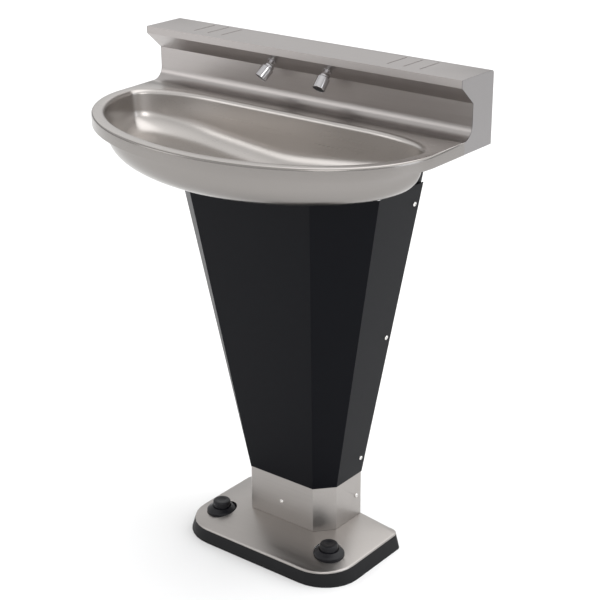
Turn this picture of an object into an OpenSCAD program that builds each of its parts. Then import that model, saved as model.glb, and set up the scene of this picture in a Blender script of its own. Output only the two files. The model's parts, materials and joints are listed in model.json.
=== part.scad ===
// Pedestal wash basin: stainless bowl and splashback on a folded black pedestal,
// with two swivel outlets worked by two foot buttons.
// X runs along the wall, +Y points at the wall, Z is up from the floor.
// Inside the modules a distance from the wall is written d, and a point at d has y = -d.

/* [Overall] */
// Width over the end panels
width = 700; // [600:10:840]
// Depth from the wall to the front of the basin
depth = 420; // [360:10:504]
// Height of the basin rim above the floor
rim_height = 866; // [760:2:1040]
// Height of the shelf above the basin rim
splash_rise = 106; // [96:2:128]

/* [Splashback] */
// Depth of the shelf from the wall
shelf_depth = 97; // [90:1:116]
// Height of the fascia along the shelf's front
fascia = 13.5; // [10:0.5:17]
// Distance of the upright face from the wall
face_depth = 61; // [58:1:73]
// Height of the sloping undercut below the fascia
undercut_drop = 32; // [28:1:38]
// Radius of the cove between the upright face and the deck
cove_radius = 23; // [20:1:28]
// Thickness of the stainless sheet
sheet = 1.5; // [1.2:0.1:2]
// Radius of the end panels' upper rear corner
panel_corner = 6; // [3:1:12]
// Height of the flange that turns down at the back of the shelf
rear_flange = 60; // [50:1:70]
// Distance between the two wall fixing holes
wall_hole_pitch = 500; // [400:10:560]
// Radius of a wall fixing hole
wall_hole_r = 4.5; // [3.5:0.5:6]
// Distance of the first pressed groove from the middle
groove_first = 185; // [150:1:200]
// Distance between the pressed grooves
groove_pitch = 33; // [24:1:40]
// Length of a pressed groove
groove_length = 56; // [40:1:60]
// Width of a pressed groove
groove_width = 3; // [2:0.5:5]
// Depth of a pressed groove
groove_depth = 0.7; // [0.4:0.1:0.9]

/* [Basin] */
// Distance from the wall where the basin's straight sides end
side_end = 170; // [150:2:190]
// Height of the apron
apron = 22; // [18:1:27]
// Radius of the apron's upper edge
edge_radius = 5; // [3:0.5:7]
// Width of the rim from the apron to the bowl's lip
rim_band = 17; // [14:1:21]
// Radius of the lip where the rim rolls into the bowl
lip_radius = 9; // [6:1:12]
// Distance from the wall to the bowl's lip at the back
bowl_back = 108; // [106:1:130]
// Length along the wall of a rear corner of the bowl
corner_length = 145; // [120:5:174]
// Depth of the bowl from the rim to the waste
bowl_depth = 105.5; // [90:0.5:120]
// Fall of the bowl floor for each millimetre towards the waste
floor_fall = 0.11; // [0.05:0.01:0.15]
// Radius between the bowl's wall and its floor
floor_fillet = 38; // [31:1:46]
// Distance of the waste from the wall
waste_setback = 170; // [164:1:176]

/* [Outlets] */
// Distance of each outlet from the middle
outlet_x = 62; // [50:1:74]
// Diameter of the swivel head
head_d = 23.5; // [21:0.5:28]
// Length of the swivel head from the ball's centre
head_length = 25; // [22:1:30]
// Distance of the ball's centre from the undercut face
ball_stand = 12; // [11:0.5:14]
// Diameter of the ball
ball_d = 13.4; // [12:0.2:14]
// Angle at which the left head is left turned to the side
left_pan = 17; // [0:1:20]

/* [Pedestal cover] */
// Height of the cover's lower edge above the floor
cover_z = 145; // [130:1:170]
// Gap from the basin rim down to the cover's upper edge
cover_top_drop = 106; // [106:1:127]
// Half width of the front face at the lower edge
front_low = 76.2; // [66:0.2:90]
// Half width of the front face at the upper edge
front_high = 140.4; // [120:0.2:165]
// Distance of the front face from the wall at the lower edge
reach_low = 139.8; // [132:0.2:160]
// Distance of the front face from the wall at the upper edge
reach_high = 231.5; // [215:0.5:250]
// Half width over the side faces at the lower edge
side_low = 107.5; // [100:0.5:122]
// Half width over the side faces at the upper edge
side_high = 232.2; // [210:0.2:250]
// Distance from the wall of the fold between chamfer and side at the lower edge
fold_low = 105.1; // [98:0.1:115]
// Distance from the wall of the fold between chamfer and side at the upper edge
fold_high = 156.5; // [140:0.5:175]
// Distance of the open rear edge from the wall
cover_back = 24; // [20:1:28]

/* [Base] */
// Width of the base pan
pan_width = 374; // [350:2:440]
// Distance from the wall to the pan's front
pan_front = 230; // [224:1:270]
// Distance from the wall to the pan's back
pan_back = 4; // [2:1:8]
// Radius of the pan's front corners
pan_front_corner = 72; // [56:1:80]
// Radius of the pan's rear corners
pan_back_corner = 18; // [12:1:25]
// Height of the pan's rim above the floor
pan_edge_z = 30.5; // [28:0.5:36]
// Height of the pan where it meets the ankle
pan_top_z = 51; // [47:1:60]
// Height of the plinth under the pan
plinth_h = 26.5; // [24:0.5:27]
// How far the plinth flares out at the floor on its two sides
side_flare = 9.5; // [0:0.5:12]
// How far the plinth flares out at the floor in front
front_flare = 4; // [0:0.5:8]
// Thickness of the plinth's wall
plinth_wall = 12; // [8:1:16]
// Thickness of the sole plate
sole_t = 5; // [4:0.5:6]
// Distance between the floor anchors along the wall
anchor_dx = 120; // [100:2:140]
// Distance between the floor anchors away from the wall
anchor_dy = 76; // [66:1:80]
// Radius of a floor anchor hole
anchor_r = 5.5; // [4.5:0.5:6.5]

/* [Foot buttons] */
// Distance of each foot button from the middle
button_x = 134; // [128:1:146]
// Distance of the foot buttons from the wall
button_setback = 164; // [160:1:172]
// Diameter of the collar
collar_d = 59; // [54:0.5:62]
// Diameter of the cap
cap_d = 34.6; // [30:0.2:38]
// Height of the cap's top above the floor
cap_top_z = 60; // [58:0.5:64]
// Travel of the button
button_travel = 8; // [5:0.5:8]

/* [Water and waste] */
// Drop from the basin rim to the middle of the waste pipe
waste_drop = 218; // [208:1:262]
// Outside diameter of the waste pipe
waste_d = 40; // [32:1:44]
// Height of the valve bracket's middle above the floor
bracket_z = 690; // [676:2:700]
// Radius of the inlet thread
inlet_r = 10.48; // [8:0.01:11]
// Diameter of the outlet hose
hose_d = 8; // [6:0.5:9]
// Diameter of the air tube
air_d = 5; // [4:0.5:6]

/* [Hidden] */
waste_z = rim_height - waste_drop;

wall_y = depth / 2;
half_w = width / 2;
shelf_z = rim_height + splash_rise;
apron_z = rim_height - apron;
fascia_z = shelf_z - fascia;
face_z = fascia_z - undercut_drop;
deck_d = face_depth + cove_radius;
smooth = 64;
gap = 0.3;

// Colours
stainless = [0.66, 0.64, 0.61];
pale_steel = [0.74, 0.72, 0.69];
black = [0.08, 0.085, 0.09];
rubber = [0.05, 0.05, 0.055];
chrome_colour = [0.85, 0.86, 0.88];
brass_colour = [0.76, 0.62, 0.34];
white_plastic = [0.88, 0.88, 0.86];

// Puts a piece drawn with y = 0 at the wall into the row's frame
module at_wall() { translate([0, wall_y, 0]) children(); }
// side = 1 draws the right-hand piece, side = -1 its mirror image
module on_side(side) { at_wall() mirror([side < 0 ? 1 : 0, 0, 0]) children(); }
// Joins a closed list of rings, each with the same number of points, into one solid
module ring_solid(rings) {
    n = len(rings[0]);
    m = len(rings);
    polyhedron(
        points = [for (ring = rings) for (p = ring) p],
        faces = [for (i = [0 : m - 1]) for (j = [0 : n - 1])
            let (a = i * n + j, b = i * n + (j + 1) % n)
            let (c = ((i + 1) % m) * n + (j + 1) % n, e = ((i + 1) % m) * n + j)
            each [[a, b, c], [a, c, e]]]
    );
}
// A tube swept along points, capped at both ends
function unit(v) = v / norm(v);
function tangent(path, i) =
    unit(path[min(i + 1, len(path) - 1)] - path[max(i - 1, 0)]);
function tube_ring(path, i, r, sides) =
    let (t = tangent(path, i))
    let (u = unit(cross(t, [1, 0.13, 0.07])))
    let (w = cross(t, u))
    [for (k = [0 : sides - 1])
        path[i] + r * (cos(360 * k / sides) * u + sin(360 * k / sides) * w)];
module swept_tube(path, r, sides) {
    n = len(path);
    polyhedron(
        points = [for (i = [0 : n - 1]) each tube_ring(path, i, r, sides)],
        faces = concat(
            [[for (k = [0 : sides - 1]) k]],
            [[for (k = [sides - 1 : -1 : 0]) (n - 1) * sides + k]],
            [for (i = [0 : n - 2]) for (k = [0 : sides - 1])
                let (a = i * sides + k, b = i * sides + (k + 1) % sides)
                each [[a, a + sides, b + sides], [a, b + sides, b]]]
        )
    );
}
// Catmull-Rom points along a route, steps points on each stretch
function spline_point(a, b, c, e, t) = 0.5 * (
    2 * b + (c - a) * t + (2 * a - 5 * b + 4 * c - e) * t * t
    + (3 * b - a - 3 * c + e) * t * t * t);
function spline(route, steps) = [
    for (i = [0 : len(route) - 2]) for (s = [0 : steps - 1])
        spline_point(route[max(i - 1, 0)], route[i], route[i + 1],
            route[min(i + 2, len(route) - 1)], s / steps),
    route[len(route) - 1]
];

/* ---------- Basin ---------- */
front_n = 30;
corner_n = 7;
back_n = 14;
wall_taper = 3;
recess_r = waste_d / 2 + 24;
recess_z = rim_height - bowl_depth - 3.5;
waste_hole_r = waste_d / 2 + 5.5;
fillet_steps = 6;
lip_steps = 4;
edge_steps = 3;
waste_point = [0, -waste_setback];
// Outer outline of the basin, from the right round the front to the left and back along
// the deck's rear edge; inset moves the apron inwards and back_inset moves the rear edge
function outer_outline(inset, back_inset) =
    let (half_depth = depth - side_end)
    let (rear = deck_d + back_inset)
    let (side = [for (i = [1 : corner_n]) let (t = i / corner_n)
        [half_w - inset * (1 - t) - back_inset * t, -(side_end + (rear - side_end) * t)]])
    concat(
        [for (i = [0 : front_n]) let (t = 180 * i / front_n)
            [(half_w - inset) * cos(t), -(side_end + (half_depth - inset) * sin(t))]],
        [for (p = side) [-p[0], p[1]]],
        [for (i = [1 : back_n - 1]) [side[corner_n - 1][0] * (2 * i / back_n - 1), -rear]],
        reversed(side)
    );
// Outline of the bowl: half an ellipse in front, long round corners and a straight back
function bowl_outline(inset) =
    let (a = half_w - rim_band - inset)
    let (mid = side_end + 0.6 * inset)
    let (b = depth - rim_band - inset - mid)
    let (back = mid - bowl_back - inset)
    let (straight = a - corner_length)
    concat(
        [for (i = [0 : front_n]) let (t = 180 * i / front_n) [a * cos(t), -(mid + b * sin(t))]],
        [for (i = [1 : corner_n]) let (t = 90 * i / corner_n)
            [-(straight + corner_length * cos(t)), -(mid - back * sin(t))]],
        [for (i = [1 : back_n - 1]) [straight * (2 * i / back_n - 1), -(mid - back)]],
        [for (i = [corner_n : -1 : 1]) let (t = 90 * i / corner_n)
            [straight + corner_length * cos(t), -(mid - back * sin(t))]]
    );
function reversed(list) = [for (i = [len(list) - 1 : -1 : 0]) list[i]];
function at_height(outline, z) = [for (p = outline) [p[0], p[1], z]];
function mix_rings(a, b, t) = [for (i = [0 : len(a) - 1]) a[i] * (1 - t) + b[i] * t];
// Height of the bowl's floor at a distance from the waste
function floor_z(r) = rim_height - bowl_depth + floor_fall * r;
// A ring of the bowl's wall, which stands rise above the floor
function wall_ring(inset, rise) = [for (p = bowl_outline(inset))
    [p[0], p[1], floor_z(norm(p - waste_point)) + rise]];
// A round ring about the waste, its points in the same directions as the bowl's outline
function waste_ring(r, z) = [for (p = bowl_outline(lip_radius + floor_fillet))
    let (q = waste_point + r * unit(p - waste_point)) [q[0], q[1], z]];
// The rings of one face of the sheet, t below the upper face, from the apron to the waste
function basin_face(t) =
    let (foot = lip_radius + wall_taper)
    let (floor_start = wall_ring(foot + floor_fillet, -t))
    concat(
        [at_height(outer_outline(t, t), apron_z)],
        [for (i = [0 : edge_steps]) let (a = 90 * i / edge_steps)
            at_height(outer_outline(edge_radius - (edge_radius - t) * cos(a), t),
                rim_height - edge_radius + (edge_radius - t) * sin(a))],
        [for (i = [0 : lip_steps]) let (a = 90 * i / lip_steps)
            at_height(bowl_outline((lip_radius - t) * sin(a)),
                rim_height - lip_radius + (lip_radius - t) * cos(a))],
        [for (i = [0 : fillet_steps]) let (a = 90 * i / fillet_steps)
            wall_ring(foot + floor_fillet - (floor_fillet + t) * cos(a),
                floor_fillet - (floor_fillet + t) * sin(a))],
        [mix_rings(floor_start, waste_ring(recess_r + 4, floor_z(recess_r + 4) - t), 0.5)],
        [waste_ring(recess_r + 4, floor_z(recess_r + 4) - t)],
        [waste_ring(recess_r, recess_z + 1.5 - t)],
        [waste_ring(recess_r - 4, recess_z - t)],
        [waste_ring(waste_hole_r, recess_z - t)]
    );
module basin() {
    color(stainless) at_wall() ring_solid(concat(basin_face(0), reversed(basin_face(sheet))));
}

/* ---------- Splashback ---------- */
function arc(centre, r, from, to, n) = [for (i = [0 : n]) let (a = from + (to - from) * i / n)
    centre + r * [cos(a), sin(a)]];
undercut_run = shelf_depth - face_depth;
undercut_slope = undercut_drop / undercut_run;
cove_n = 8;
wall_hole_z = shelf_z - rear_flange / 2;
// Folded section as [distance from the wall, height]; t moves it to the sheet's inner face
function splash_section(t) =
    let (undercut_shift = t * (sqrt(1 + undercut_slope * undercut_slope) - undercut_slope))
    concat(
        [[t, shelf_z - rear_flange]],
        arc([panel_corner, shelf_z - panel_corner], panel_corner - t, 180, 90, 4),
        [[shelf_depth - t, shelf_z - t], [shelf_depth - t, fascia_z + undercut_shift],
            [face_depth - t, face_z + undercut_shift]],
        arc([deck_d, rim_height + cove_radius], cove_radius + t, 180, 270, cove_n)
    );
// Extrudes a [distance, height] section along X, between two places
module along_x(from_x, to_x) {
    rotate([90, 0, -90]) translate([0, 0, -to_x]) linear_extrude(to_x - from_x) children();
}
module groove(x) {
    first = (shelf_depth - groove_length) / 2 - 4;
    translate([x, -first - groove_length / 2, shelf_z - groove_depth]) {
        translate([-groove_width / 2, -groove_length / 2, 0])
            cube([groove_width, groove_length, sheet]);
        for (end = [-1, 1]) translate([0, end * groove_length / 2, 0])
            cylinder(d = groove_width, h = sheet, $fn = smooth);
    }
}
module splashback() {
    color(stainless) at_wall() difference() {
        along_x(-half_w + sheet, half_w - sheet)
            polygon(concat(splash_section(0), reversed(splash_section(sheet))));
        for (side = [-1, 1]) {
            for (i = [0 : 2]) groove(side * (groove_first + i * groove_pitch));
            translate([side * wall_hole_pitch / 2, 1, wall_hole_z]) rotate([90, 0, 0])
                cylinder(r = wall_hole_r, h = sheet + 2, $fn = smooth);
            at_outlet(side) translate([0, 0, -4]) cylinder(r = shank_r + gap, h = 8, $fn = smooth);
        }
    }
}
module end_panel(side) {
    color(stainless) on_side(side) along_x(half_w - sheet, half_w) polygon(concat(
        [[0, apron_z]],
        arc([panel_corner, shelf_z - panel_corner], panel_corner, 180, 90, 4),
        [[shelf_depth, shelf_z], [shelf_depth, fascia_z], [face_depth, face_z]],
        arc([deck_d, rim_height + cove_radius], cove_radius, 180, 270, cove_n),
        [[deck_d, apron_z]]
    ));
}
module end_panel_left() { end_panel(-1); }
module end_panel_right() { end_panel(1); }

/* ---------- Frame ---------- */
rail_back = 14;
rail_front = 50;
rail_z = rim_height - 18;
rail_h = 18;
rail_t = 2.5;
rail_bolt_d = 38;
hose_hole_r = hose_d / 2 + 3;
hose_d_at_rail = 28;
upright_t = 2.5;
upright_flange = 20;
upright_back = 26;
upright_front = 66;
upright_gap = 1.6;
top_plate_t = 4;
top_plate_w = 46;
bolt_r = 4;
bolt_hole_r = 4.5;
cover_top_z = rim_height - cover_top_drop;
side_slope = (side_high - side_low) / (cover_top_z - cover_z);
lean = atan(side_slope);
ankle_step = 1.3;
ankle_half = side_low - ankle_step;
ankle_reach = reach_low - ankle_step;
ankle_front = front_low - 0.4;
ankle_fold = fold_low - ankle_step;
upright_low_x = ankle_half - sheet - 1.4;
// Half width over the cover's side faces at a height
function side_x(z) = side_low + side_slope * (z - cover_z);
// Outer face of an upright at a height on its leaning part
function upright_x(z) = side_x(z) - sheet - upright_gap;
upright_bend_z = cover_z - (upright_x(cover_z) - upright_low_x) / side_slope;
upright_top_z = rail_z - top_plate_t;
module rail_bolt_places() {
    for (x = [14, 34]) translate([upright_x(upright_top_z) - x, -rail_bolt_d, 0]) children();
}
module rear_rail() {
    color(pale_steel) at_wall() difference() {
        translate([-half_w + sheet, -rail_front, rail_z])
            cube([width - 2 * sheet, rail_front - rail_back, rail_h]);
        translate([-half_w, -rail_front + rail_t, rail_z + rail_t])
            cube([width, rail_front - rail_back - 2 * rail_t, rail_h]);
        for (side = [0, 1]) mirror([side, 0, 0]) {
            rail_bolt_places() cylinder(r = bolt_hole_r, h = 3 * rail_z, center = true, $fn = smooth);
            translate([outlet_x, -hose_d_at_rail, 0])
                cylinder(r = hose_hole_r, h = 3 * rail_z, center = true, $fn = smooth);
        }
    }
}
// A strip that follows the upright's bend, w wide in X
module upright_strip(w, from_d, to_d) {
    translate([0, -from_d, 0]) rotate([90, 0, 0]) linear_extrude(to_d - from_d) polygon([
        [upright_low_x, sole_t], [upright_low_x, upright_bend_z],
        [upright_x(upright_top_z), upright_top_z], [upright_x(upright_top_z) - w, upright_top_z],
        [upright_low_x - w, upright_bend_z], [upright_low_x - w, sole_t]
    ]);
}
module upright(side) {
    color(black) on_side(side) difference() {
        union() {
            upright_strip(upright_t, upright_back, upright_front);
            upright_strip(upright_flange, upright_back, upright_back + upright_t);
            upright_strip(upright_flange, upright_front - upright_t, upright_front);
            translate([upright_x(upright_top_z) - top_plate_w, -upright_front, upright_top_z])
                cube([top_plate_w, upright_front - upright_back, top_plate_t]);
        }
        rail_bolt_places() cylinder(r = bolt_hole_r, h = 3 * rail_z, center = true, $fn = smooth);
        cover_screw_places() screw_thread();
        ankle_side_place() screw_thread();
        bracket_bolt_place() rotate([90, 0, 0])
            cylinder(r = 3.2, h = 20, center = true, $fn = smooth);
    }
}
module upright_left() { upright(-1); }
module upright_right() { upright(1); }
module rail_bolts() {
    color(pale_steel) at_wall() for (side = [0, 1]) mirror([side, 0, 0]) rail_bolt_places() {
        translate([0, 0, upright_top_z - 5.3]) cylinder(d = 15, h = 5.3, $fn = 6);
        translate([0, 0, upright_top_z - 5.3]) cylinder(r = bolt_r, h = 22, $fn = smooth);
        translate([0, 0, rail_z + rail_t]) difference() {
            cylinder(d = 15, h = 6.5, $fn = 6);
            translate([0, 0, -1]) cylinder(r = bolt_r, h = 9, $fn = smooth);
        }
    }
}
bracket_t = 3;
bracket_h = 36;
module bracket_bolt_place() {
    translate([upright_x(bracket_z) - 11, -upright_front, bracket_z]) children();
}
module valve_screw_places() {
    for (dz = [-8, 8]) translate([outlet_x, -upright_front, bracket_z + dz]) children();
}
module valve_bracket() {
    half = upright_x(bracket_z - bracket_h / 2) - 2;
    color(pale_steel) at_wall() difference() {
        translate([-half, -upright_front - bracket_t, bracket_z - bracket_h / 2])
            cube([2 * half, bracket_t, bracket_h]);
        for (side = [0, 1]) mirror([side, 0, 0]) {
            bracket_bolt_place() rotate([90, 0, 0])
                cylinder(r = 3.2, h = 20, center = true, $fn = smooth);
            valve_screw_places() rotate([90, 0, 0])
                cylinder(r = 2.7, h = 20, center = true, $fn = smooth);
        }
    }
}
module bracket_screws() {
    color(pale_steel) at_wall() for (side = [0, 1]) mirror([side, 0, 0]) {
        bracket_bolt_place() {
            translate([0, -bracket_t, 0]) rotate([90, 0, 0]) cylinder(d = 11.5, h = 4, $fn = 6);
            translate([0, -bracket_t, 0]) rotate([-90, 0, 0]) cylinder(r = 3, h = 14, $fn = smooth);
            translate([0, upright_t, 0]) rotate([-90, 0, 0]) difference() {
                cylinder(d = 11.5, h = 5, $fn = 6);
                translate([0, 0, -1]) cylinder(r = 3, h = 8, $fn = smooth);
            }
        }
        valve_screw_places() translate([0, -bracket_t, 0]) {
            rotate([90, 0, 0]) cylinder(r = 4.4, h = 3, $fn = smooth);
            rotate([-90, 0, 0]) cylinder(r = 2.5, h = 9, $fn = smooth);
        }
    }
}

/* ---------- Pedestal cover and ankle ---------- */
screw_r = 2.4;
screw_head_r = 4.5;
screw_d = 40;
cover_screw_drops = [38, 308, 576];
ankle_screw_z = 98;
ankle_front_screw_z = 92;
// Section of the folded sheet, t in from its outer face, from the right rear edge round
function fold_section(side, fold, front, reach, t) =
    let (miter = t * 0.41)
    [[side - t, -cover_back], [side - t, -fold + miter], [front - miter, -reach + t],
        [miter - front, -reach + t], [t - side, -fold + miter], [t - side, -cover_back]];
function sheet_section(side, fold, front, reach) = concat(
    fold_section(side, fold, front, reach, 0), reversed(fold_section(side, fold, front, reach, sheet)));
// A solid between two sections of folded sheet; the chamfers are twisted, so they are split
module loft(low, high, low_z, high_z) {
    chamfers = [false, true, false, true, false, false, false, true, false, true, false, false];
    n = len(low);
    polyhedron(
        points = concat(at_height(low, low_z), at_height(high, high_z)),
        faces = concat(
            [for (i = [0 : n / 2 - 2]) [n - 1 - i, n - 2 - i, i + 1, i]],
            [for (i = [0 : n / 2 - 2]) [n + i, n + i + 1, 2 * n - 2 - i, 2 * n - 1 - i]],
            [for (i = [0 : n - 1]) let (j = (i + 1) % n)
                each chamfers[i] ? [[j, n + j, i], [n + j, n + i, i]] : [[j, n + j, n + i, i]]]
        )
    );
}
module cover_screw_places() {
    for (drop = cover_screw_drops)
        let (z = cover_top_z - drop)
        translate([side_x(z), -screw_d, z]) rotate([0, 90 + lean, 0]) children();
}
module ankle_side_place() {
    translate([ankle_half, -screw_d, ankle_screw_z]) rotate([0, 90, 0]) children();
}
module ankle_front_place() {
    translate([0, -ankle_reach, ankle_front_screw_z]) rotate([90, 0, 0]) children();
}
// A pan-head screw whose head sits on z = 0 and whose shank runs down
module pan_screw(length) {
    rotate_extrude($fn = smooth) polygon(concat(
        [[0, -length], [screw_r, -length], [screw_r, 0], [screw_head_r, 0]],
        arc([screw_head_r - 1.6, 1], 1.6, 0, 90, 4),
        [[1.6, 2.6], [1.6, 1.2], [0, 1.2]]
    ));
}
module screw_hole() { translate([0, 0, -5]) cylinder(r = screw_r + gap, h = 8, $fn = smooth); }
module screw_thread() { translate([0, 0, -12]) cylinder(r = screw_r + 0.05, h = 14, $fn = smooth); }
module pedestal_cover() {
    color(black) at_wall() difference() {
        loft(sheet_section(side_low, fold_low, front_low, reach_low),
            sheet_section(side_high, fold_high, front_high, reach_high), cover_z, cover_top_z);
        for (side = [0, 1]) mirror([side, 0, 0]) cover_screw_places() screw_hole();
    }
}
module cover_screws() {
    color(pale_steel) at_wall() for (side = [0, 1]) mirror([side, 0, 0])
        cover_screw_places() pan_screw(9);
}
module ankle_skirt() {
    color(pale_steel) at_wall() difference() {
        translate([0, 0, pan_top_z]) linear_extrude(cover_z - gap - pan_top_z)
            polygon(sheet_section(ankle_half, ankle_fold, ankle_front, ankle_reach));
        for (side = [0, 1]) mirror([side, 0, 0]) ankle_side_place() screw_hole();
        ankle_front_place() screw_hole();
    }
}
module ankle_screws() {
    color(pale_steel) at_wall() {
        for (side = [0, 1]) mirror([side, 0, 0]) ankle_side_place() pan_screw(9);
        ankle_front_place() pan_screw(9);
    }
}

/* ---------- Base ---------- */
tab_half = 22;
tab_t = 3.2;
tab_top = 108;
sole_half = 118;
sole_back = pan_back + plinth_wall + 0.5;
sole_front = 132;
base_n = 8;
anchor_d = 76;
function oval(centre, rx, ry, from, to, n) = [for (i = [0 : n])
    let (a = from + (to - from) * i / n) centre + [rx * cos(a), ry * sin(a)]];
// Rounded outline of the base, clockwise from the right rear corner, moved outwards at the
// sides, in front and at the back
function base_outline(sides, front, back) =
    let (w = pan_width / 2)
    let (rb = pan_back_corner, rf = pan_front_corner)
    concat(
        oval([w - rb, -pan_back - rb], rb + sides, rb + back, 90, 0, base_n),
        oval([w - rf, -pan_front + rf], rf + sides, rf + front, 0, -90, base_n),
        oval([rf - w, -pan_front + rf], rf + sides, rf + front, -90, -180, base_n),
        oval([rb - w, -pan_back - rb], rb + sides, rb + back, 180, 90, base_n)
    );
function pan_outline(grow) = base_outline(grow, grow, grow);
// The ankle's outline with a point for each of the pan outline's, grow outwards
function ankle_outline(grow) =
    let (side = ankle_half + grow, front = ankle_front + 0.4 * grow)
    let (reach = ankle_reach + grow, fold = ankle_fold + 0.4 * grow)
    let (rear = cover_back - grow, nick = 3)
    let (right = concat(
        [for (i = [0 : base_n]) [side - nick * (1 - i / base_n), -rear - nick * i / base_n]],
        [for (i = [0 : base_n]) let (t = i / base_n)
            [side + (front - side) * t, -fold - (reach - fold) * t]]))
    concat(right, [for (p = reversed(right)) [-p[0], p[1]]]);
pan_edge_r = 4;
// The rings of one face of the pan, t below the upper face
function pan_face(t) = concat(
    [for (a = [0, 30, 60, 90]) at_height(pan_outline((pan_edge_r - t) * cos(a) - pan_edge_r),
        pan_edge_z - pan_edge_r + (pan_edge_r - t) * sin(a))],
    [at_height(ankle_outline(1), pan_top_z - t), at_height(ankle_outline(-sheet), pan_top_z - t)]
);
module base_pan() {
    color(pale_steel) at_wall() difference() {
        ring_solid(concat(pan_face(0), reversed(pan_face(sheet))));
        for (side = [-1, 1]) translate([side * button_x, -button_setback, 0])
            cylinder(d = collar_d + 2 * gap, h = 3 * pan_top_z, center = true, $fn = smooth);
    }
}
module plinth() {
    color(rubber) at_wall() ring_solid([
        at_height(base_outline(side_flare, front_flare, 0), 0),
        at_height(pan_outline(0), plinth_h),
        at_height(pan_outline(-plinth_wall), plinth_h),
        at_height(pan_outline(-plinth_wall), 0)
    ]);
}
module sole_plate() {
    color(pale_steel) at_wall() difference() {
        union() {
            translate([-sole_half, -sole_front, 0])
                cube([2 * sole_half, sole_front - sole_back, sole_t]);
            translate([-tab_half, sheet + gap - ankle_reach, 0]) {
                cube([2 * tab_half, ankle_reach - sheet - gap - sole_front + 1, sole_t]);
                cube([2 * tab_half, tab_t, tab_top]);
            }
        }
        for (x = [-1, 1]) for (y = [-1, 1])
            translate([x * anchor_dx / 2, -anchor_d + y * anchor_dy / 2, 0])
                cylinder(r = anchor_r, h = 4 * sole_t, center = true, $fn = smooth);
        ankle_front_place() screw_thread();
    }
}

/* ---------- Foot buttons ---------- */
collar_z = 32;
lip_z = 42;
cone_z = 47.5;
guide_top_z = 37;
stem_r = 6;
stem_fit = 0.05;
cap_wall = 2.3;
cap_roof = 3;
cup_r = 26;
cup_wall = 3;
cup_z = 5;
cup_floor = 3;
spigot = 4;
air_port_z = 14;
bellows_r = 20;
bellows_top_z = 24;
cap_low_z = 45.5;
module at_button(side) { on_side(side) translate([button_x, -button_setback, 0]) children(); }
module button_collar(side) {
    bore = cap_d / 2 + 0.9;
    r = collar_d / 2;
    color(rubber) at_button(side) rotate_extrude($fn = smooth) polygon([
        [stem_r + stem_fit, collar_z], [r, collar_z], [r, lip_z - 1.5], [r - 1.5, lip_z],
        [bore + 2.6, cone_z - 0.8], [bore + 1.6, cone_z], [bore, cone_z],
        [bore, guide_top_z], [stem_r + stem_fit, guide_top_z]
    ]);
}
module button_collar_left() { button_collar(-1); }
module button_collar_right() { button_collar(1); }
module button_cup(side) {
    color(white_plastic) at_button(side) {
        difference() {
            translate([0, 0, cup_z]) cylinder(r = cup_r, h = collar_z - cup_z, $fn = smooth);
            translate([0, 0, cup_z + cup_floor])
                cylinder(r = cup_r - cup_wall, h = collar_z, $fn = smooth);
        }
        translate([1 - cup_r, 0, air_port_z]) rotate([0, -90, 0])
            cylinder(r = air_d / 2 - 0.8, h = spigot + 1, $fn = smooth);
    }
}
module button_cup_left() { button_cup(-1); }
module button_cup_right() { button_cup(1); }
module button_cap(side) {
    r = cap_d / 2;
    color(rubber) at_button(side) rotate_extrude($fn = smooth) polygon(concat(
        [[r - cap_wall, cap_low_z], [r, cap_low_z]],
        arc([r - 3, cap_top_z - 3], 3, 0, 90, 5),
        [[9, cap_top_z], [7, cap_top_z - 0.8], [0, cap_top_z - 0.8], [0, cap_top_z - cap_roof],
            [r - cap_wall, cap_top_z - cap_roof]]
    ));
}
module button_cap_left() { button_cap(-1); }
module button_cap_right() { button_cap(1); }
module button_stem(side) {
    color(white_plastic) at_button(side) rotate_extrude($fn = smooth) polygon([
        [0, bellows_top_z + gap], [stem_r, bellows_top_z + gap], [stem_r, collar_z - gap - 3],
        [10, collar_z - gap - 3], [10, collar_z - gap], [stem_r, collar_z - gap],
        [stem_r, cap_top_z - cap_roof], [0, cap_top_z - cap_roof]
    ]);
}
module button_stem_left() { button_stem(-1); }
module button_stem_right() { button_stem(1); }
spring_r = 11.5;
spring_wire_r = 0.9;
spring_turns = 5;
module button_spring(side) {
    low = guide_top_z + spring_wire_r;
    high = cap_top_z - cap_roof - spring_wire_r - 0.1;
    n = spring_turns * 12;
    color(chrome_colour) at_button(side) swept_tube([for (i = [0 : n]) let (a = 30 * i)
        [spring_r * cos(a), spring_r * sin(a), low + (high - low) * i / n]], spring_wire_r, 6);
}
module button_spring_left() { button_spring(-1); }
module button_spring_right() { button_spring(1); }
module air_bellows(side) {
    low = cup_z + cup_floor;
    step = (bellows_top_z - low) / 8;
    fold = 4;
    skin = 1.2;
    color(rubber) at_button(side) rotate_extrude($fn = smooth) polygon(concat(
        [[0, low]],
        [for (i = [0 : 8]) [bellows_r - (i % 2 == 0 ? fold : 0), low + i * step]],
        [[0, bellows_top_z], [0, bellows_top_z - skin]],
        [for (i = [7 : -1 : 1]) [bellows_r - skin - (i % 2 == 0 ? fold : 0), low + i * step]],
        [[0, low + skin]]
    ));
}
module air_bellows_left() { air_bellows(-1); }
module air_bellows_right() { air_bellows(1); }

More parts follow.
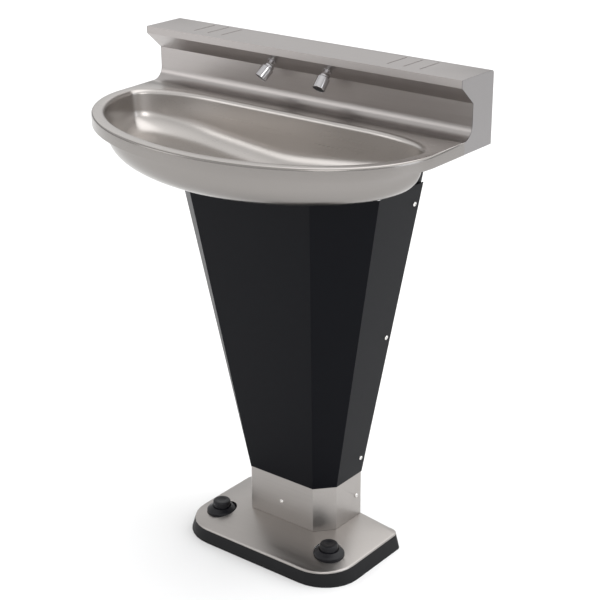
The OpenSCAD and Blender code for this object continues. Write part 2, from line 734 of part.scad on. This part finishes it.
/* ---------- Water ---------- */
valve_d = 46;
valve_r = 15;
valve_low = -45;
valve_high = 35;
actuator_dz = -30;
actuator_r = 18;
actuator_w = 14;
barb = 6;
inlet_dz = -82;
inlet_end_d = 8;
module at_valve(side) { on_side(side) translate([outlet_x, -valve_d, bracket_z]) children(); }
module flow_valve(side) {
    color(brass_colour) at_valve(side) difference() {
        union() {
            translate([0, 0, valve_low]) cylinder(r = valve_r, h = valve_high - valve_low, $fn = smooth);
            translate([-12, valve_d - upright_front, -12]) cube([24, upright_front - valve_d, 24]);
            translate([0, 0, valve_high]) cylinder(d = 20, h = 8, $fn = 6);
            translate([0, 0, valve_high + 8]) cylinder(r = hose_d / 2 - 1, h = 4, $fn = smooth);
            translate([0, 0, actuator_dz]) rotate([0, 90, 0])
                cylinder(r = 9, h = valve_r + 3, $fn = smooth);
        }
        translate([-outlet_x, valve_d, -bracket_z]) valve_screw_places() rotate([90, 0, 0])
            cylinder(r = 2.55, h = 16, center = true, $fn = smooth);
    }
}
module flow_valve_left() { flow_valve(-1); }
module flow_valve_right() { flow_valve(1); }
module valve_actuator(side) {
    x = valve_r + 3;
    color(black) at_valve(side) translate([0, 0, actuator_dz]) {
        translate([x, 0, 0]) rotate([0, 90, 0]) cylinder(r = actuator_r, h = actuator_w, $fn = smooth);
        translate([x + actuator_w / 2, 0, -actuator_r - barb])
            cylinder(r = air_d / 2 - 0.8, h = barb + 2, $fn = smooth);
    }
}
module valve_actuator_left() { valve_actuator(-1); }
module valve_actuator_right() { valve_actuator(1); }
module inlet_elbow(side) {
    color(brass_colour) at_valve(side) {
        translate([0, 0, inlet_dz]) {
            translate([0, 0, -inlet_r - 2]) cylinder(r = 13, h = valve_low - inlet_dz, $fn = smooth);
            translate([0, 0, valve_low - inlet_dz - 16]) cylinder(d = 30, h = 16, $fn = 6);
            rotate([-90, 0, 0]) cylinder(r = 11.5, h = 14, $fn = smooth);
            translate([0, 10, 0]) rotate([-90, 0, 0]) cylinder(d = 27, h = 6, $fn = 6);
            rotate([-90, 0, 0]) cylinder(r = inlet_r, h = valve_d - inlet_end_d, $fn = smooth);
        }
    }
}
module inlet_elbow_left() { inlet_elbow(-1); }
module inlet_elbow_right() { inlet_elbow(1); }
shank_inside = 14;
outlet_root_d = (shelf_depth + face_depth) / 2;
outlet_root_z = (fascia_z + face_z) / 2;
outlet_tilt = atan(undercut_slope);
// Puts a piece drawn along +Z, out of the undercut's face, at an outlet
module at_outlet(side) {
    translate([side * outlet_x, -outlet_root_d, outlet_root_z])
        rotate([180 - outlet_tilt, 0, 0]) children();
}
inward = [0, sin(outlet_tilt), cos(outlet_tilt)];
hose_bend = 26;
module outlet_hose(side) {
    start = [outlet_x, -outlet_root_d, outlet_root_z] + (shank_inside + sheet) * inward;
    centre = start + hose_bend * [0, cos(outlet_tilt), -sin(outlet_tilt)];
    turn = 180 - outlet_tilt;
    bend = [for (i = [0 : 10]) let (a = outlet_tilt + turn * i / 10)
        centre + hose_bend * [0, -cos(a), sin(a)]];
    drop = bend[10];
    low_z = bracket_z + valve_high + 12;
    route = [[outlet_x, -valve_d, low_z], [outlet_x, -valve_d, low_z + 30],
        [outlet_x, -(valve_d + hose_d_at_rail) / 2, low_z + 65],
        [outlet_x, -hose_d_at_rail, rail_z - 14],
        [outlet_x, -hose_d_at_rail, rail_z + rail_h], [outlet_x, drop[1], drop[2] - 12]];
    color(chrome_colour) on_side(side)
        swept_tube(concat(spline(route, 4), reversed(bend)), hose_d / 2, 10);
}
module outlet_hose_left() { outlet_hose(-1); }
module outlet_hose_right() { outlet_hose(1); }
module air_tube(side) {
    x = outlet_x + valve_r + 3 + actuator_w / 2;
    top = bracket_z + actuator_dz - actuator_r - barb;
    last = button_x - cup_r - spigot;
    route = [[x, -valve_d, top], [x, -valve_d, top - 14], [x, -valve_d, 560], [80, -46, 400],
        [74, -46, 220], [70, -50, 120], [70, -64, 60], [74, -96, 28], [78, -128, 15],
        [last - 16, -button_setback + 3, air_port_z], [last - 8, -button_setback, air_port_z],
        [last, -button_setback, air_port_z]];
    color(white_plastic) on_side(side) swept_tube(spline(route, 4), air_d / 2, 8);
}
module air_tube_left() { air_tube(-1); }
module air_tube_right() { air_tube(1); }

/* ---------- Outlets ---------- */
shank_r = 7.5;
shank_bore = 2.2;
neck_r = 3.8;
foot_r = 8.5;
foot_h = 1.4;
ball_r = ball_d / 2;
seat_in = ball_r + gap;
seat_out = seat_in + 1.2;
socket_r = seat_out + gap;
mouth = 55;
head_r = head_d / 2;
retainer_r = 9.4;
aerator_seat = 13;
module outlet_shank(side) {
    color(chrome_colour) at_wall() at_outlet(side) difference() {
        union() {
            translate([0, 0, -shank_inside - sheet])
                cylinder(r = shank_r, h = shank_inside + sheet, $fn = smooth);
            cylinder(r = foot_r, h = foot_h, $fn = smooth);
            cylinder(r = neck_r, h = ball_stand, $fn = smooth);
            translate([0, 0, ball_stand]) sphere(r = ball_r, $fn = smooth);
        }
        translate([0, 0, -shank_inside - sheet - 1])
            cylinder(r = shank_bore, h = shank_inside + ball_stand + ball_d, $fn = smooth);
    }
}
module outlet_shank_left() { outlet_shank(-1); }
module outlet_shank_right() { outlet_shank(1); }
module outlet_nut(side) {
    color(brass_colour) at_wall() at_outlet(side) translate([0, 0, -sheet - 6]) difference() {
        cylinder(d = 24, h = 6, $fn = 6);
        translate([0, 0, -1]) cylinder(r = shank_r, h = 8, $fn = smooth);
    }
}
module outlet_nut_left() { outlet_nut(-1); }
module outlet_nut_right() { outlet_nut(1); }
// Places a piece drawn about the ball's centre, turned to the outlet's rest direction
module at_ball(side) {
    at_wall() at_outlet(side) translate([0, 0, ball_stand])
        rotate([0, side < 0 ? -left_pan : 0, 0]) children();
}
module seat_ring(side) {
    color(white_plastic) at_wall() at_outlet(side) translate([0, 0, ball_stand])
        rotate_extrude($fn = smooth) polygon(concat(
            arc([0, 0], seat_in, mouth - 90, 30, 12), arc([0, 0], seat_out, 30, mouth - 90, 12)));
}
module seat_ring_left() { seat_ring(-1); }
module seat_ring_right() { seat_ring(1); }
module swivel_head(side) {
    rim_z = socket_r * sin(mouth - 90);
    color(chrome_colour) at_ball(side) rotate_extrude($fn = smooth) polygon(concat(
        arc([0, 0], socket_r, mouth - 90, 0, 10),
        [[socket_r, aerator_seat], [head_r - 1.4, aerator_seat], [head_r - 1.4, head_length],
            [head_r - 0.7, head_length], [head_r, head_length - 0.7], [head_r, 3.2],
            [head_r - 0.8, 2.4], [retainer_r - 0.6, 2.4], [retainer_r - 0.6, 1.2],
            [retainer_r, 0.8], [retainer_r, -1.8], [retainer_r - 1, rim_z]]
    ));
}
module swivel_head_left() { swivel_head(-1); }
module swivel_head_right() { swivel_head(1); }
module aerator(side) {
    r = head_r - 1.4 - 0.1;
    color(black) at_ball(side) difference() {
        translate([0, 0, aerator_seat + 0.1])
            cylinder(r = r, h = head_length - aerator_seat - 1.1, $fn = smooth);
        for (ring = [[0, 1], [3.2, 6], [6.4, 12]]) for (i = [0 : ring[1] - 1])
            rotate([0, 0, 360 * i / ring[1]]) translate([ring[0], 0, aerator_seat - 1])
                cylinder(r = 0.9, h = head_length, $fn = smooth);
    }
}
module aerator_left() { aerator(-1); }
module aerator_right() { aerator(1); }

/* ---------- Waste ---------- */
tail_r = waste_d / 2;
tail_bore = tail_r - 2;
thread_r = tail_r + 2;
nut_fit = 0.2;
flange_r = tail_r + 13;
flange_low_z = recess_z - 32;
bottle_r = 32;
bottle_wall = 3;
bottle_top = waste_z + 34;
bottle_low = waste_z - 24;
socket_reach = 22;
nut_r = 30;
module at_waste(z) { at_wall() translate([0, -waste_setback, z]) children(); }
module waste_flange() {
    color(chrome_colour) at_waste(0) rotate_extrude($fn = smooth) polygon([
        [tail_r - 1, flange_low_z], [thread_r, flange_low_z], [thread_r, recess_z],
        [flange_r, recess_z], [flange_r, recess_z + 1], [flange_r - 2, recess_z + 2],
        [tail_r + 1, recess_z + 1.4], [tail_r - 0.4, recess_z],
        [tail_r - 0.4, recess_z - 4], [tail_r - 3, recess_z - 4], [tail_r - 3, recess_z - 8],
        [tail_r - 1, recess_z - 10]
    ]);
}
module waste_strainer() {
    color(chrome_colour) at_waste(recess_z - 4) difference() {
        cylinder(r = tail_r - 0.5, h = 2.2, $fn = smooth);
        for (ring = [[0, 1], [6.5, 6], [13, 12]]) for (i = [0 : ring[1] - 1])
            rotate([0, 0, 360 * i / ring[1]]) translate([ring[0], 0, -1])
                cylinder(r = 2, h = 5, $fn = smooth);
    }
}
module ring(r_in, r_out, h) {
    difference() {
        cylinder(r = r_out, h = h, $fn = smooth);
        translate([0, 0, -1]) cylinder(r = r_in, h = h + 2, $fn = smooth);
    }
}
module hex_ring(r_in, r_out, h) {
    difference() {
        cylinder(r = r_out, h = h, $fn = 6);
        translate([0, 0, -1]) cylinder(r = r_in, h = h + 2, $fn = smooth);
    }
}
module waste_gasket() {
    color(rubber) at_waste(recess_z - sheet - 3.2) ring(thread_r + nut_fit, flange_r, 3);
}
module waste_tail() {
    color(white_plastic) {
        at_waste(recess_z - sheet - 11.4) hex_ring(thread_r + nut_fit, 34, 8);
        at_waste(waste_z - 8) ring(tail_bore, tail_r, flange_low_z - waste_z + 7.8);
        at_waste(flange_low_z - 14) ring(tail_r + nut_fit, nut_r, 13.8);
        at_waste(flange_low_z - 0.2) ring(thread_r + nut_fit, nut_r, 13);
    }
}
module trap_body() {
    neck = thread_r + 1.5;
    color(white_plastic) at_waste(0) difference() {
        union() {
            translate([0, 0, bottle_low])
                cylinder(r = bottle_r, h = bottle_top - bottle_low, $fn = smooth);
            translate([0, 0, bottle_top]) cylinder(r = neck, h = 12, $fn = smooth);
            translate([0, 0, waste_z]) rotate([-90, 0, 0])
                cylinder(r = neck, h = bottle_r + socket_reach, $fn = smooth);
        }
        translate([0, 0, bottle_low - bottle_wall])
            cylinder(r = bottle_r - bottle_wall, h = bottle_top - bottle_low, $fn = smooth);
        translate([0, 0, bottle_low]) cylinder(r = tail_r + nut_fit, h = bottle_top, $fn = smooth);
        translate([0, bottle_r - bottle_wall - 3, waste_z]) rotate([-90, 0, 0])
            cylinder(r = tail_r + nut_fit, h = socket_reach + 10, $fn = smooth);
    }
}
module trap_cup() {
    color(white_plastic) at_waste(bottle_low - 20.2) difference() {
        union() {
            cylinder(r = bottle_r - 6, h = 12, $fn = smooth);
            translate([0, 0, 6]) cylinder(r = bottle_r + 1.5, h = 14, $fn = smooth);
        }
        translate([0, 0, 3]) cylinder(r = bottle_r - 9, h = 20, $fn = smooth);
        translate([0, 0, 12]) cylinder(r = bottle_r - bottle_wall, h = 20, $fn = smooth);
    }
}
module trap_nuts() {
    neck = thread_r + 1.5 + nut_fit;
    color(white_plastic) {
        at_waste(bottle_top + 2) difference() {
            cylinder(r = nut_r + 1, h = 16, $fn = 6);
            translate([0, 0, -1]) cylinder(r = neck, h = 11.2, $fn = smooth);
            cylinder(r = tail_r + nut_fit, h = 20, $fn = smooth);
        }
        at_waste(waste_z) rotate([-90, 0, 0]) translate([0, 0, bottle_r + socket_reach - 12])
            difference() {
                cylinder(r = nut_r + 1, h = 18, $fn = 6);
                translate([0, 0, -1]) cylinder(r = neck, h = 13.2, $fn = smooth);
                cylinder(r = tail_r + nut_fit, h = 20, $fn = smooth);
            }
    }
}
// The pipe's end is turned down a little where it sits in the trap and its nut
module waste_pipe() {
    length = waste_setback - bottle_r - 2;
    turned = socket_reach - 12 + 18 + 1;
    color(white_plastic) at_waste(waste_z) rotate([-90, 0, 0]) translate([0, 0, bottle_r]) difference() {
        union() {
            cylinder(r = tail_r - 0.3, h = length, $fn = smooth);
            translate([0, 0, turned]) cylinder(r = tail_r, h = length - turned, $fn = smooth);
        }
        translate([0, 0, -1]) cylinder(r = tail_bore, h = length + 2, $fn = smooth);
    }
}

basin();
splashback();
end_panel_left();
end_panel_right();
rear_rail();
upright_left();
upright_right();
rail_bolts();
valve_bracket();
bracket_screws();
pedestal_cover();
cover_screws();
ankle_skirt();
ankle_screws();
base_pan();
plinth();
sole_plate();
button_collar_left();
button_collar_right();
button_cup_left();
button_cup_right();
button_cap_left();
button_cap_right();
button_stem_left();
button_stem_right();
button_spring_left();
button_spring_right();
air_bellows_left();
air_bellows_right();
air_tube_left();
air_tube_right();
flow_valve_left();
flow_valve_right();
valve_actuator_left();
valve_actuator_right();
inlet_elbow_left();
inlet_elbow_right();
outlet_hose_left();
outlet_hose_right();
outlet_shank_left();
outlet_shank_right();
outlet_nut_left();
outlet_nut_right();
seat_ring_left();
seat_ring_right();
swivel_head_left();
swivel_head_right();
aerator_left();
aerator_right();
waste_flange();
waste_strainer();
waste_gasket();
waste_tail();
trap_body();
trap_cup();
trap_nuts();
waste_pipe();
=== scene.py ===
import json
import math

import bpy
import numpy as np
from mathutils import Matrix, Vector


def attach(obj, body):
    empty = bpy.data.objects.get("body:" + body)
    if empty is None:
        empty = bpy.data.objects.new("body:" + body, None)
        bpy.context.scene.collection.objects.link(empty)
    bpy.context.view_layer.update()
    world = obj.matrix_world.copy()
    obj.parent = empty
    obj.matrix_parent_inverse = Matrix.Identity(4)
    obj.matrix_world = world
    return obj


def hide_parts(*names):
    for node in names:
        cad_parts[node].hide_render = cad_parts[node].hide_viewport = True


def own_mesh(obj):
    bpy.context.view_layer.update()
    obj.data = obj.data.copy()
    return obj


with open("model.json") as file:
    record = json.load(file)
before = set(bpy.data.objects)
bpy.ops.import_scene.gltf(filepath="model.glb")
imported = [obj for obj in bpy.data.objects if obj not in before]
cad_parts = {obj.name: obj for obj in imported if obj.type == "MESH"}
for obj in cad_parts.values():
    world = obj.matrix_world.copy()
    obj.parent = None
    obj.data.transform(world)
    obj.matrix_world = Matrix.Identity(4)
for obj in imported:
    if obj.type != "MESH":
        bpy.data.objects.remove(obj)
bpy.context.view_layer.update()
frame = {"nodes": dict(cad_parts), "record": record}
nodes = frame["nodes"]
scene = bpy.context.scene
SIDES = ("left", "right")
MM = 0.001

# Sizes in millimetres: the wall's place in Y, the rim's height, half the width and the depth
WALL = 210.0
RIM = 866.0
HALF_W = 350.0
DEPTH = 420.0


# ---------- Materials ----------
def material(name, colour, metallic, roughness, **inputs):
    mat = bpy.data.materials.new(name)
    mat.use_nodes = True
    shader = mat.node_tree.nodes["Principled BSDF"]
    shader.inputs["Base Color"].default_value = (*colour, 1)
    shader.inputs["Metallic"].default_value = metallic
    shader.inputs["Roughness"].default_value = roughness
    for key, value in inputs.items():
        shader.inputs[key.replace("_", " ")].default_value = value
    mat.diffuse_color = (*colour, 1)
    return mat


def brush(mat, stretch, low, high, tint=0.05, bump=0.02, anisotropy=0.0, along=(1, 0, 0)):
    """Adds fine streaks to a metal: roughness, tint and a slight bump follow stretched noise."""
    tree = mat.node_tree
    shader = tree.nodes["Principled BSDF"]
    coords = tree.nodes.new("ShaderNodeTexCoord")
    mapping = tree.nodes.new("ShaderNodeMapping")
    mapping.inputs["Scale"].default_value = stretch
    noise = tree.nodes.new("ShaderNodeTexNoise")
    noise.inputs["Scale"].default_value = 1.0
    noise.inputs["Detail"].default_value = 4.0
    noise.inputs["Roughness"].default_value = 0.6
    rough = tree.nodes.new("ShaderNodeMapRange")
    rough.inputs["From Min"].default_value = 0.3
    rough.inputs["From Max"].default_value = 0.7
    rough.inputs["To Min"].default_value = low
    rough.inputs["To Max"].default_value = high
    shade = tree.nodes.new("ShaderNodeMapRange")
    shade.inputs["From Min"].default_value = 0.3
    shade.inputs["From Max"].default_value = 0.7
    shade.inputs["To Min"].default_value = 1 - tint
    shade.inputs["To Max"].default_value = 1.0
    base = shader.inputs["Base Color"].default_value[:3]
    tinted = tree.nodes.new("ShaderNodeVectorMath")
    tinted.operation = "SCALE"
    tinted.inputs[0].default_value = base
    raised = tree.nodes.new("ShaderNodeBump")
    raised.inputs["Strength"].default_value = bump
    raised.inputs["Distance"].default_value = 0.0005
    link = tree.links.new
    link(coords.outputs["Object"], mapping.inputs["Vector"])
    link(mapping.outputs["Vector"], noise.inputs["Vector"])
    link(noise.outputs["Fac"], rough.inputs["Value"])
    link(noise.outputs["Fac"], shade.inputs["Value"])
    link(noise.outputs["Fac"], raised.inputs["Height"])
    link(rough.outputs["Result"], shader.inputs["Roughness"])
    link(shade.outputs["Result"], tinted.inputs["Scale"])
    link(tinted.outputs["Vector"], shader.inputs["Base Color"])
    link(raised.outputs["Normal"], shader.inputs["Normal"])
    if anisotropy:
        direction = tree.nodes.new("ShaderNodeCombineXYZ")
        for socket, value in zip(direction.inputs, along):
            socket.default_value = value
        link(direction.outputs["Vector"], shader.inputs["Tangent"])
        shader.inputs["Anisotropic"].default_value = anisotropy
    return mat


stainless = brush(
    material("stainless_grain_x", (0.42, 0.395, 0.385), 1, 0.3),
    (6, 500, 500), 0.28, 0.36, 0.05, 0.02, 0.5,
)
# End panels: the stainless with its grain along Y, in a darker copy whose lower colour is painted
# shade on the side faces
side_steel_painted_shade = brush(
    material("stainless_grain_y_painted_shade", (0.29, 0.28, 0.28), 1, 0.3),
    (300, 6, 300), 0.28, 0.36, 0.04, 0.01,
)
# Apron and underside of the basin: a darker copy of the stainless, painted shade, with vertical
# grain and lower roughness
apron_steel_painted_shade = brush(
    material("stainless_apron_painted_shade", (0.27, 0.255, 0.243), 1, 0.22),
    (4, 4, 900), 0.20, 0.24, 0.02, 0.0,
)
# Bowl, rim and deck of the basin: a paler copy of the stainless, painted light
bowl_steel_painted_light = brush(
    material("stainless_bowl_painted_light", (0.50, 0.475, 0.455), 1, 0.3),
    (4, 900, 900), 0.27, 0.31, 0.02, 0.001,
)
pale_steel = brush(
    material("stainless_base", (0.40, 0.378, 0.362), 1, 0.34), (6, 300, 300), 0.3, 0.38
)
bare_steel = material("bare_steel", (0.55, 0.54, 0.52), 1, 0.35)
screw_steel = material("screw_steel", (0.75, 0.74, 0.72), 1, 0.18)
chrome = material("chrome", (0.50, 0.49, 0.50), 1, 0.07)
cover_black = material("cover_black", (0.0012, 0.0015, 0.0032), 0, 0.42, Specular_IOR_Level=0.09)
frame_black = material("frame_black", (0.008, 0.008, 0.010), 0, 0.5, Specular_IOR_Level=0.2)
plinth_black = material("plinth_black", (0.008, 0.008, 0.009), 0, 0.55, Specular_IOR_Level=0.2)
button_black = material("button_black", (0.004, 0.004, 0.006), 0, 0.36, Specular_IOR_Level=0.3)
seal_black = material("seal_black", (0.02, 0.02, 0.02), 0, 0.6)
white_plastic = material("white_plastic", (0.80, 0.80, 0.78), 0, 0.3)
black_plastic = material("black_plastic", (0.015, 0.015, 0.016), 0, 0.45)
seat_plastic = material("seat_plastic", (0.7, 0.7, 0.68), 0, 0.4)
tube_plastic = material("tube_plastic", (0.65, 0.70, 0.75), 0, 0.25)
brass = material("brass", (0.72, 0.56, 0.28), 1, 0.25)
spring_steel = material("spring_steel", (0.6, 0.6, 0.6), 1, 0.25)
braid = brush(material("braid", (0.6, 0.6, 0.61), 1, 0.3), (400, 400, 900), 0.25, 0.5, 0.3, 0.2)
LOOKS = {
    "stainless": stainless, "stainless_pale": pale_steel, "bare_steel": bare_steel,
    "frame_black": frame_black, "cover_black": cover_black, "screws": screw_steel,
    "plinth_black": plinth_black, "button_black": button_black, "chrome": chrome,
    "seal": seal_black, "white_plastic": white_plastic, "spring_steel": spring_steel,
    "air_tube": tube_plastic, "brass": brass, "black_plastic": black_plastic,
    "braid": braid, "seat_plastic": seat_plastic,
}
SLOT_OF = {s["node"]: s["material_slot"] for s in frame["record"]["subparts"]}


def wear(obj, mat):
    obj.data.materials.clear()
    obj.data.materials.append(mat)


def soften(obj, width, segments=2, angle=35):
    """Joins a CAD mesh's loose faces for shading and rounds its edges a little."""
    with bpy.context.temp_override(object=obj, active_object=obj, selected_objects=[obj]):
        if obj.data.has_custom_normals:
            bpy.ops.mesh.customdata_custom_splitnormals_clear()
    obj.data.polygons.foreach_set("use_smooth", [True] * len(obj.data.polygons))
    weld = obj.modifiers.new("weld", "WELD")
    weld.merge_threshold = 1e-6
    if width:
        bevel = obj.modifiers.new("bevel", "BEVEL")
        bevel.width = width
        bevel.segments = segments
        bevel.limit_method = "ANGLE"
        bevel.angle_limit = math.radians(angle)
        bevel.harden_normals = True
        bevel.use_clamp_overlap = True
    else:
        split = obj.modifiers.new("split", "EDGE_SPLIT")
        split.split_angle = math.radians(angle)


# Widths of the rounded edges in metres; nodes with a width of 0 and PLAIN ones have none
EDGE_WIDTH = 0.0003
EDGE = {
    "splashback": 0.0006, "pedestal_cover": 0, "ankle_skirt": 0.0006, "plinth": 0.0012,
    "end_panel_left": 0.0004, "end_panel_right": 0.0004, "base_pan": 0.0004,
}
PLAIN = ("button_spring", "air_tube", "outlet_hose", "waste_strainer", "seat_ring", "air_bellows")
for name, obj in nodes.items():
    # The end panels wear the darker, Y-grained copy of the stainless: painted shade on the side
    # faces
    wear(obj, side_steel_painted_shade if name.startswith("end_panel") else LOOKS[SLOT_OF[name]])
    width = 0 if name.startswith(PLAIN) else EDGE.get(name, EDGE_WIDTH)
    soften(obj, width, angle=20 if name == "pedestal_cover" else 35)


# ---------- Basin ----------
SHEET = 1.5
RING_POINTS = (200, 40, 48)
APRON_RINGS = 6


def basin_rings(t, count):
    """The rings of one face of the sheet, t below its upper face, from the apron to the waste."""
    front_n, corner_n, back_n = count
    side_end, deck, band, lip, back_d, corner = 170, 84, 17, 9, 108, 145
    edge, apron_z, waste_d = 5, 844, 170
    fillet, taper = 38, 3
    recess_z, recess_r, hole_r = 757, 44, 25.5
    bowl_depth, floor_fall = 105.5, 0.11

    def outer(inset, back_inset):
        rear = deck + back_inset
        a = np.pi * np.arange(front_n + 1) / front_n
        half_depth = DEPTH - side_end - inset
        front = np.c_[(HALF_W - inset) * np.cos(a), side_end + half_depth * np.sin(a)]
        s = np.arange(1, corner_n + 1) / corner_n
        side = np.c_[HALF_W - inset * (1 - s) - back_inset * s, side_end + (rear - side_end) * s]
        b = 2 * np.arange(1, back_n) / back_n - 1
        across = np.c_[side[-1, 0] * b, np.full(back_n - 1, rear)]
        return np.r_[front, side * [-1, 1], across, side[::-1]]

    def bowl(inset):
        a_len = HALF_W - band - inset
        mid = side_end + 0.6 * inset
        b_len = DEPTH - band - inset - mid
        depth_back = mid - back_d - inset
        straight = a_len - corner
        a = np.pi * np.arange(front_n + 1) / front_n
        front = np.c_[a_len * np.cos(a), mid + b_len * np.sin(a)]
        c = np.pi / 2 * np.arange(1, corner_n + 1) / corner_n
        turn = np.c_[straight + corner * np.cos(c), mid - depth_back * np.sin(c)]
        b = 2 * np.arange(1, back_n) / back_n - 1
        across = np.c_[straight * b, np.full(back_n - 1, mid - depth_back)]
        return np.r_[front, turn * [-1, 1], across, turn[::-1]]

    def at(ring, z):
        return np.c_[ring, np.broadcast_to(z, len(ring))]

    waste = np.array([0, waste_d])

    def floor_z(r):
        return RIM - bowl_depth + floor_fall * r

    def wall(inset, rise):
        ring = bowl(inset)
        return at(ring, floor_z(np.linalg.norm(ring - waste, axis=1)) + rise)

    foot = lip + taper
    ray = bowl(lip + fillet) - waste
    ray /= np.linalg.norm(ray, axis=1)[:, None]

    def about_waste(r, z):
        return at(waste + r * ray, z)

    rings = [at(outer(t, t), apron_z)]
    for a in np.linspace(0, np.pi / 2, 9):
        ring = outer(edge - (edge - t) * np.cos(a), t)
        rings.append(at(ring, RIM - edge + (edge - t) * np.sin(a)))
    for a in np.linspace(0, np.pi / 2, 11):
        rings.append(at(bowl((lip - t) * np.sin(a)), RIM - lip + (lip - t) * np.cos(a)))
    for a in np.linspace(0, np.pi / 2, 19):
        inset = foot + fillet - (fillet + t) * np.cos(a)
        rings.append(wall(inset, fillet - (fillet + t) * np.sin(a)))
    start = rings[-1]
    end = about_waste(recess_r + 4, floor_z(recess_r + 4) - t)
    for s in (0.25, 0.5, 0.75, 0.93, 1.0):
        rings.append(start * (1 - s) + end * s)
    z0 = floor_z(recess_r + 4)
    for s in (0.2, 0.4, 0.6, 0.8, 1.0):
        e = s * s * (3 - 2 * s)
        rings.append(about_waste(recess_r + 4 - 8 * s, z0 * (1 - e) + recess_z * e - t))
    rings.append(about_waste(hole_r, recess_z - t))
    return rings


def mesh_object(name, points, faces, mat, body, sharp=None):
    mesh = bpy.data.meshes.new(name)
    mesh.from_pydata([tuple(p) for p in points], [], faces)
    mesh.validate()
    mesh.polygons.foreach_set("use_smooth", [True] * len(mesh.polygons))
    if sharp:
        mesh.set_sharp_from_angle(angle=math.radians(sharp))
    obj = bpy.data.objects.new(name, mesh)
    scene.collection.objects.link(obj)
    wear(obj, mat)
    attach(obj, body)
    return obj


def torus_faces(rows, n):
    return [
        (i * n + j, (i + 1) % rows * n + j, (i + 1) % rows * n + (j + 1) % n, i * n + (j + 1) % n)
        for i in range(rows) for j in range(n)
    ]


top, under = basin_rings(0, RING_POINTS), basin_rings(SHEET, RING_POINTS)
rings = top + under[::-1]
points = np.vstack(rings)
points = np.c_[points[:, 0], WALL - points[:, 1], points[:, 2]] * MM
basin = mesh_object("basin_pressing", points, torus_faces(len(rings), len(rings[0])),
                    apron_steel_painted_shade, "stand", sharp=50)
# The bowl, rim and deck are brushed along other lines than the apron and the underside. They get
# a paler copy of the steel as painted light, and the apron and underside a darker copy as painted
# shade.
basin.data.materials.append(bowl_steel_painted_light)
for face in basin.data.polygons:
    if APRON_RINGS <= face.index // len(rings[0]) < len(top) - 1:
        face.material_index = 1
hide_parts("basin")


# ---------- Springs and bellows (in the real part they shorten as their button goes down; here they are fixed, smooth-shaded copies on the stand) ---
for side in SIDES:
    for part in ("button_spring", "air_bellows"):
        node = nodes[f"{part}_{side}"]
        soft = bpy.data.objects.new(f"{part}_{side}_soft", node.data.copy())
        scene.collection.objects.link(soft)
        soft.matrix_world = node.matrix_world
        soften(soft, 0)
        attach(soft, "stand")
        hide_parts(node.name)
        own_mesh(soft)


# ---------- Stage, light and camera ----------
def area(name, place, target, size, power, colour=(1, 1, 1)):
    light = bpy.data.lights.new(name, "AREA")
    light.shape = "RECTANGLE"
    light.size, light.size_y = size
    light.energy = power
    light.color = colour
    obj = bpy.data.objects.new(name, light)
    scene.collection.objects.link(obj)
    obj.location = place
    obj.rotation_euler = (Vector(target) - Vector(place)).to_track_quat("-Z", "Y").to_euler()
    return obj


bpy.ops.mesh.primitive_plane_add(size=60, location=(0, 0, 0))
floor = bpy.context.object
floor.name = "floor"
wear(floor, material("pale_floor", (0.93, 0.93, 0.93), 0, 0.9, Specular_IOR_Level=0.0))

world = bpy.data.worlds.new("studio")
world.use_nodes = True
sky = world.node_tree
where = sky.nodes.new("ShaderNodeTexCoord")
split = sky.nodes.new("ShaderNodeSeparateXYZ")
ramp = sky.nodes.new("ShaderNodeValToRGB")
for place, level in ((0.0, 0.30), (0.18, 0.5), (0.38, 0.95), (0.6, 0.6), (1.0, 0.45)):
    stop = ramp.color_ramp.elements.new(place)
    stop.color = (level, level, level, 1)
ramp.color_ramp.elements.remove(ramp.color_ramp.elements[-1])
ramp.color_ramp.elements.remove(ramp.color_ramp.elements[0])
sky.links.new(where.outputs["Generated"], split.inputs["Vector"])
sky.links.new(split.outputs["Z"], ramp.inputs["Fac"])
sky.links.new(ramp.outputs["Color"], sky.nodes["Background"].inputs["Color"])
sky.nodes["Background"].inputs["Strength"].default_value = 1.25
scene.world = world

sun = bpy.data.lights.new("softbox_above", "SUN")
sun.energy = 1.1
sun.angle = math.radians(75)
above = bpy.data.objects.new("softbox_above", sun)
scene.collection.objects.link(above)
above.rotation_euler = (-Vector((0.30, 0.36, 0.85))).to_track_quat("-Z", "Y").to_euler()
area("front_left", (-2.8, -2.6, 1.9), (0, 0, 0.6), (1.6, 2.2), 12)
area("front_right", (2.0, -2.3, 2.3), (0, 0, 0.8), (1.2, 1.2), 14)
area("right", (3.2, 0.9, 1.5), (0, 0, 0.6), (1.6, 2.2), 18, (0.88, 0.93, 1.0))

camera = bpy.data.objects.new("camera", bpy.data.cameras.new("camera"))
scene.collection.objects.link(camera)
camera.location = (1.6045, -1.9067, 1.5607)
yaw, pitch, roll = math.radians(38.22), math.radians(22.31), math.radians(0.24)
forward = Vector(
    (-math.sin(yaw) * math.cos(pitch), math.cos(yaw) * math.cos(pitch), -math.sin(pitch))
)
camera.rotation_mode = "QUATERNION"
camera.rotation_quaternion = (
    forward.to_track_quat("-Z", "Y") @ Matrix.Rotation(-roll, 3, "Z").to_quaternion()
)
camera.data.sensor_width = 36
camera.data.lens = 89.67
camera.data.clip_start, camera.data.clip_end = 0.05, 200
camera.data.dof.use_dof = False
scene.camera = camera
scene.view_settings.view_transform = "Standard"
scene.view_settings.look = "None"
